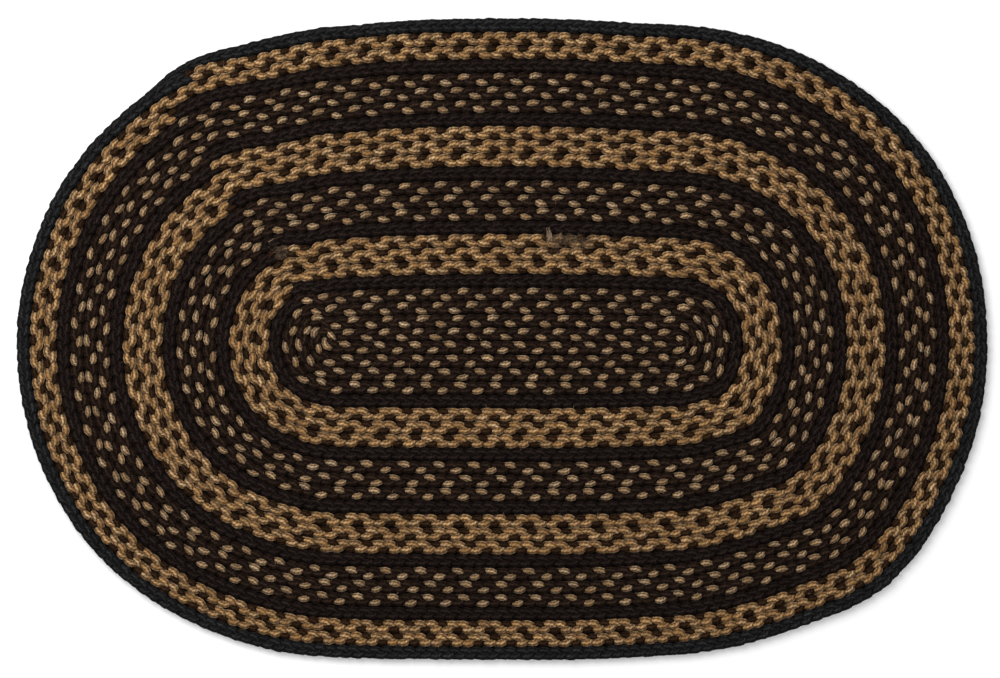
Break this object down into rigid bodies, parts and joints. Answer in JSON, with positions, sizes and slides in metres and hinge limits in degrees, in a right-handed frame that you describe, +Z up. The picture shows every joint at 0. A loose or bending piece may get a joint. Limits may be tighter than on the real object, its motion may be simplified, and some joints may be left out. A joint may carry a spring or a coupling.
{
  "type": "braided rug",
  "caption": "Flat oval rug of three-strand yarn braid coiled round a straight core, in near-black bands with natural and flecked bands between.",
  "frame": {"origin": "middle of the flat underside", "axes": "+X along the long axis, parallel to the core seam; +Y across the rug; +Z up, out of the face"},
  "size_m": [0.7614, 0.504, 0.008],
  "materials": {
    "natural_yarn": "natural tan jute yarn, matt and slightly hairy",
    "dark_yarn": "near-black brown dyed jute yarn, matt and slightly hairy",
    "border_yarn": "charcoal dyed jute yarn, matt"
  },
  "bodies": {
    "root": {"braided_rug": "dark_yarn"}
  },
  "joints": []
}
